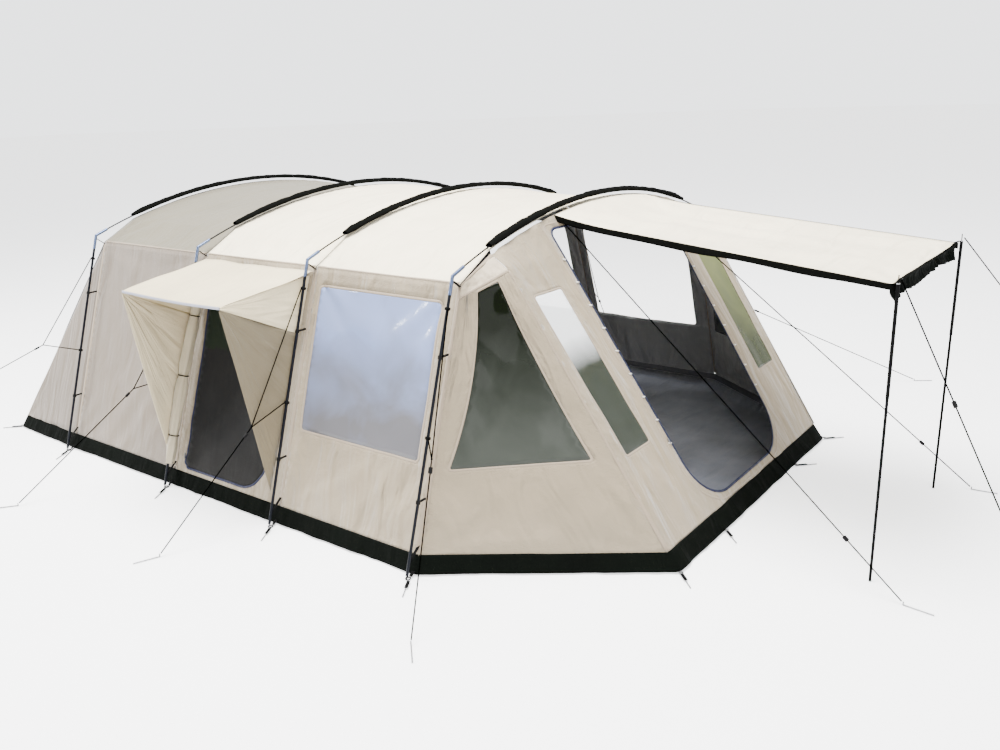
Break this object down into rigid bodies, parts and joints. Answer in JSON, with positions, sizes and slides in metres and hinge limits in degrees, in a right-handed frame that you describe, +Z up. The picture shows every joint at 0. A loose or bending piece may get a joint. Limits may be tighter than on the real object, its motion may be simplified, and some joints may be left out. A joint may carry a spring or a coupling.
{
  "type": "tunnel tent",
  "caption": "Family tunnel tent with four poled arches, three bays, sloping rear, faceted front porch, raised awning on two poles, side porch and guy lines.",
  "frame": {"origin": "centre of the groundsheet's underside, on the ground", "axes": "+X towards the front awning, +Y towards the plain side, +Z up"},
  "size_m": [9.1232, 6.4578, 2.01],
  "materials": {
    "roof_rod": "pultruded fibreglass, black",
    "steel_leg": "zinc-plated steel tube",
    "connector": "silver-blue powder coat",
    "peg_steel": "galvanised wire",
    "black_plastic": "moulded nylon",
    "webbing": "woven webbing",
    "sleeve_fabric": "coated polyester, black-olive",
    "roof_fabric": "coated polyester, ecru",
    "wall_fabric": "coated polyester, beige",
    "rear_fabric": "coated polyester, grey-beige",
    "skirt_fabric": "coated polyester, green-black",
    "window_film": "clear film",
    "groundsheet": "woven polyethylene, blue-grey",
    "bedroom_fabric": "breathable polyester, dark grey",
    "mesh": "insect mesh",
    "pole_paint": "dark powder coat",
    "pole_steel": "dark powder coat",
    "guy_cord": "braided polyester",
    "zip_metal": "zinc alloy"
  },
  "bodies": {
    "tent": {"arch_rod_1": "roof_rod", "arch_rod_2": "roof_rod", "arch_rod_3": "roof_rod", "arch_rod_4": "roof_rod", "awning_pole_far": "pole_paint", "awning_pole_near": "pole_paint", "bedroom_wall": "bedroom_fabric", "elbow_connectors": "connector", "foot_pins": "peg_steel", "front_guys": "guy_cord", "front_panel": "wall_fabric", "ground_skirt": "skirt_fabric", "groundsheet": "groundsheet", "legs_1": "steel_leg", "legs_2": "steel_leg", "legs_3": "steel_leg", "legs_4": "steel_leg", "pegs": "peg_steel", "pole_clips": "black_plastic", "porch_canopy": "roof_fabric", "porch_cheeks": "wall_fabric", "rear_panel": "rear_fabric", "rolled_side_door": "wall_fabric", "roof_front_bay": "roof_fabric", "roof_middle_bay": "roof_fabric", "roof_rear_bay": "roof_fabric", "side_door_mesh": "mesh", "side_guys": "guy_cord", "sleeve_1": "sleeve_fabric", "sleeve_2": "sleeve_fabric", "sleeve_3": "sleeve_fabric", "sleeve_4": "sleeve_fabric", "wall_far_front": "wall_fabric", "wall_far_middle": "wall_fabric", "wall_far_rear": "wall_fabric", "wall_near_front": "wall_fabric", "wall_near_middle": "wall_fabric", "wall_near_rear": "wall_fabric", "webbing_straps": "webbing", "windows": "window_film", "wing_far": "wall_fabric", "wing_near": "wall_fabric"},
    "awning": {"awning_panel": "roof_fabric", "awning_flap": "skirt_fabric"},
    "near_pole_foot": {"pole_foot_near": "pole_steel"},
    "far_pole_foot": {"pole_foot_far": "pole_steel"},
    "front_zip": {"front_zip_slider": "zip_metal"},
    "side_zip": {"side_zip_slider": "zip_metal"},
    "runner_near_1_body": {"runner_near_1": "black_plastic"},
    "runner_near_2_body": {"runner_near_2": "black_plastic"},
    "runner_near_3_body": {"runner_near_3": "black_plastic"},
    "runner_near_4_body": {"runner_near_4": "black_plastic"},
    "runner_far_1_body": {"runner_far_1": "black_plastic"},
    "runner_far_2_body": {"runner_far_2": "black_plastic"},
    "runner_far_3_body": {"runner_far_3": "black_plastic"},
    "runner_far_4_body": {"runner_far_4": "black_plastic"},
    "runner_header_near_body": {"runner_header_near": "black_plastic"},
    "runner_header_far_body": {"runner_header_far": "black_plastic"},
    "runner_awning_near_body": {"runner_awning_near": "black_plastic"},
    "runner_awning_far_body": {"runner_awning_far": "black_plastic"}
  },
  "joints": [
    {"name": "awning_fold", "type": "hinge", "parent": "tent", "child": "awning", "pos_m": [1.755, 0, 1.9], "axis": [0, 1, 0], "range_deg": [0, 48]},
    {"name": "near_pole_telescope", "type": "slide", "parent": "tent", "child": "near_pole_foot", "axis": [0, 0, 1], "range_m": [0, 0.25]},
    {"name": "far_pole_telescope", "type": "slide", "parent": "tent", "child": "far_pole_foot", "axis": [0, 0, 1], "range_m": [0, 0.25]},
    {"name": "front_zip_slide", "type": "slide", "parent": "tent", "child": "front_zip", "axis": [-0.5472, -0.0381, 0.8361], "range_m": [0, 1.2]},
    {"name": "side_zip_slide", "type": "slide", "parent": "tent", "child": "side_zip", "axis": [0, 0.3206, 0.9472], "range_m": [0, 1.15]},
    {"name": "runner_slide_near_1", "type": "slide", "parent": "tent", "child": "runner_near_1_body", "axis": [-0.7019, -0.5609, -0.439], "range_m": [0, 1.684]},
    {"name": "runner_slide_near_2", "type": "slide", "parent": "tent", "child": "runner_near_2_body", "axis": [-0.38, -0.6722, -0.6354], "range_m": [0, 0.937]},
    {"name": "runner_slide_near_3", "type": "slide", "parent": "tent", "child": "runner_near_3_body", "axis": [-0.2549, -0.6383, -0.7264], "range_m": [0, 0.763]},
    {"name": "runner_slide_near_4", "type": "slide", "parent": "tent", "child": "runner_near_4_body", "axis": [0.1895, -0.4654, -0.8645], "range_m": [0, 0.748]},
    {"name": "runner_slide_far_1", "type": "slide", "parent": "tent", "child": "runner_far_1_body", "axis": [-0.7019, 0.5609, -0.439], "range_m": [0, 1.684]},
    {"name": "runner_slide_far_2", "type": "slide", "parent": "tent", "child": "runner_far_2_body", "axis": [-0.38, 0.6722, -0.6354], "range_m": [0, 0.937]},
    {"name": "runner_slide_far_3", "type": "slide", "parent": "tent", "child": "runner_far_3_body", "axis": [-0.185, 0.6913, -0.6985], "range_m": [0, 0.76]},
    {"name": "runner_slide_far_4", "type": "slide", "parent": "tent", "child": "runner_far_4_body", "axis": [0.6928, 0.578, -0.4311], "range_m": [0, 1.54]},
    {"name": "runner_slide_header_near", "type": "slide", "parent": "tent", "child": "runner_header_near_body", "axis": [-0.7754, 0.0962, 0.6241], "range_m": [0, 1.802]},
    {"name": "runner_slide_header_far", "type": "slide", "parent": "tent", "child": "runner_header_far_body", "axis": [-0.7767, -0.0771, 0.6252], "range_m": [0, 1.799]},
    {"name": "runner_slide_awning_near", "type": "slide", "parent": "tent", "child": "runner_awning_near_body", "axis": [0.473, -0.0817, -0.8772], "range_m": [0, 1.064]},
    {"name": "runner_slide_awning_far", "type": "slide", "parent": "tent", "child": "runner_awning_far_body", "axis": [0.556, 0.2932, -0.7777], "range_m": [0, 1.201]}
  ]
}
